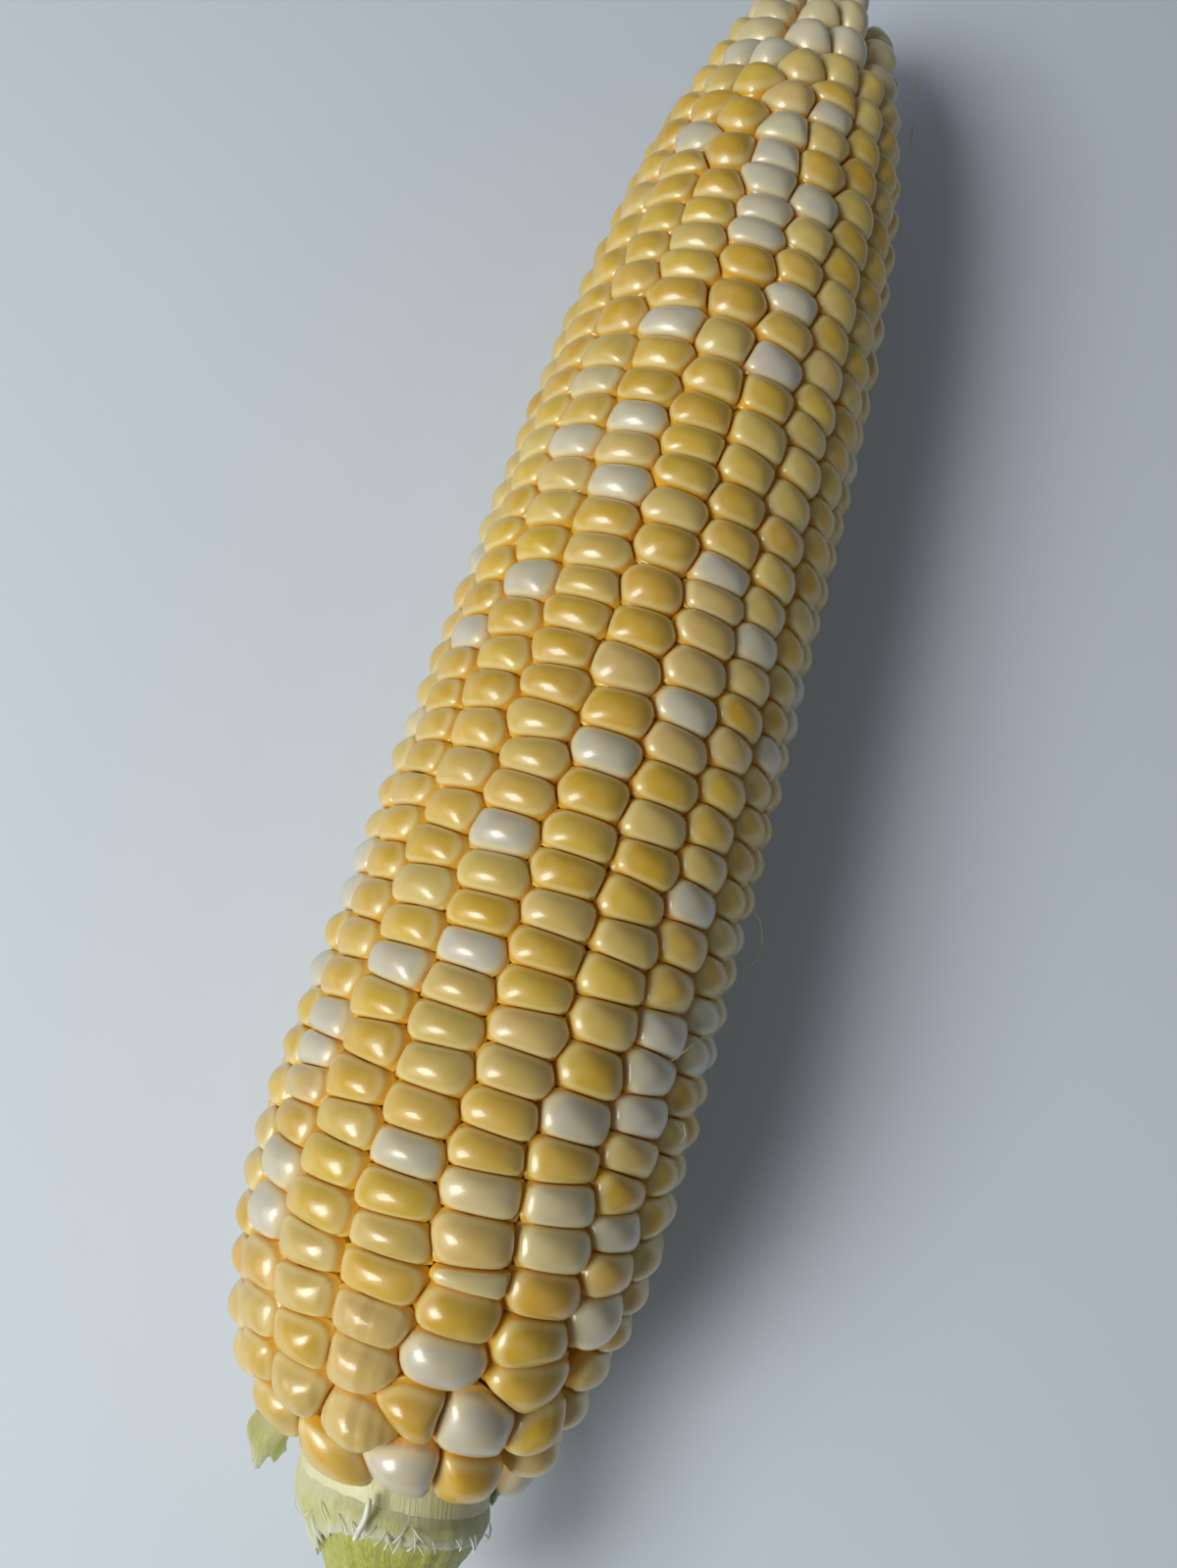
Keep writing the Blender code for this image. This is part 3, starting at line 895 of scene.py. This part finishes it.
def new_strands(name):
    """A curve object's data, for strands that are added to it."""
    curve = bpy.data.curves.new(name, "CURVE")
    curve.dimensions = "3D"
    curve.bevel_depth = STRAND_RADIUS
    curve.bevel_resolution = 2
    curve.use_fill_caps = True
    return curve


def make_silk(material):
    """Stray strands of silk, each its own piece."""
    for number, route in enumerate(SILKS, start=1):
        points = []
        for share, degrees, off in route:
            height = share * EAR_LENGTH
            radius = CROWN.radius_at(height) + off * MM
            points.append(EAR.around(height, radius, math.radians(degrees)))
        curve = new_strands(f"silk_{number}")
        strand(curve, points, SILK_THICKNESS)
        new_piece(curve.name, curve, material, f"silk_strand_{number}")


def make_husk_fibres(material):
    """White fibres that stand out along the collar's torn edge, and one long one across the foot."""
    draw = random.Random(SEED + 3)
    curve = new_strands("husk_fibres")
    for i in range(FIBRES):
        degrees = draw.uniform(*FRONT) if i < FRONT_FIBRES else draw.uniform(-180, 180)
        start = COLLAR_START + collar_length(math.radians(degrees)) * draw.uniform(0.45, 0.95)
        length = draw.uniform(0.8, 2.0) * MM
        side = draw.uniform(-8, 8)
        points = []
        for share in (0.0, 0.35, 0.7, 1.0):
            depth = start + length * share
            off = (0.4 + 0.5 * math.sin(2.2 * share)) * MM
            radius = foot_radius(min(depth / BASE_LENGTH, 1.0)) + off
            points.append(EAR.around(-depth, radius, math.radians(degrees + side * share)))
        strand(curve, points, draw.uniform(0.5, 1.1))
    points = []
    for height, radius, degrees in LONG_FIBRE:
        points.append(EAR.around(height * MM, radius * MM, math.radians(degrees)))
    strand(curve, points, 3.0, 0.5)
    new_piece("husk_fibres", curve, material)


# ---------------------------------------------------------------- floor, light and camera


def make_floor():
    """A plain pale surface that the ear lies on."""
    bpy.ops.mesh.primitive_plane_add(size=4.0)
    floor = bpy.context.object
    floor.name = "floor"
    floor.data.materials.append(floor_material())


def add_light(name, place, size, power, colour):
    """A soft rectangular lamp that faces the ear."""
    light = bpy.data.lights.new(name, "AREA")
    light.shape = "RECTANGLE"
    light.size, light.size_y = size
    light.energy = power
    light.color = colour
    lamp = bpy.data.objects.new(name, light)
    bpy.context.scene.collection.objects.link(lamp)
    lamp.location = place
    lamp.rotation_euler = (Vector(LIGHT_AIM) - Vector(place)).to_track_quat("-Z", "Y").to_euler()


def make_lights():
    """A window at the ear's left and towards its butt, the sky through it, and a dim even room."""
    world = bpy.data.worlds.new("room")
    bpy.context.scene.world = world
    world.use_nodes = True
    background = world.node_tree.nodes["Background"]
    background.inputs["Color"].default_value = ROOM_COLOUR
    background.inputs["Strength"].default_value = ROOM_STRENGTH
    add_light("window", (-0.27, 0.33, 0.44), (0.24, 0.24), 2.35, (1.0, 0.98, 0.95))
    add_light("sky", (-0.50, 0.75, 0.60), (0.9, 0.7), 2.6, (0.95, 0.98, 1.0))
    bpy.context.scene.view_settings.view_transform = "Standard"


def make_camera():
    """The camera stands over the ear and looks a little towards its tip."""
    camera = bpy.data.cameras.new("camera")
    camera.lens = CAMERA_LENS
    camera.sensor_width = 36
    camera.clip_start = 0.005
    holder = bpy.data.objects.new("camera", camera)
    bpy.context.scene.collection.objects.link(holder)
    bpy.context.scene.camera = holder
    place = EAR.point(*CAMERA_PLACE)
    look = Vector(EAR.point(*CAMERA_AIM) - place).normalized()
    top = Vector(np.array(CAMERA_TOP) @ (EAR.axis, EAR.up, EAR.right))
    side = look.cross(top).normalized()
    top = side.cross(look)
    turn = Matrix((side, top, -look)).transposed().to_4x4()
    holder.matrix_world = Matrix.Translation(place) @ turn


def main():
    make_kernels(kernel_material())
    make_cob(cob_material())
    make_tip_ovules(fibre_material("pale ovules", (0.70, 0.62, 0.34), (0.62, 0.56, 0.26)))
    husk = husk_material()
    make_husk_collar(husk)
    for shred in SHREDS:
        make_husk_shred(*shred, husk)
    make_husk_fibres(fibre_material("husk fibre", (0.78, 0.80, 0.72), (0.70, 0.74, 0.58)))
    make_silk(fibre_material("silk", (0.66, 0.58, 0.24), (0.55, 0.50, 0.18)))
    make_floor()
    make_lights()
    make_camera()


main()
bpy.context.view_layer.update()
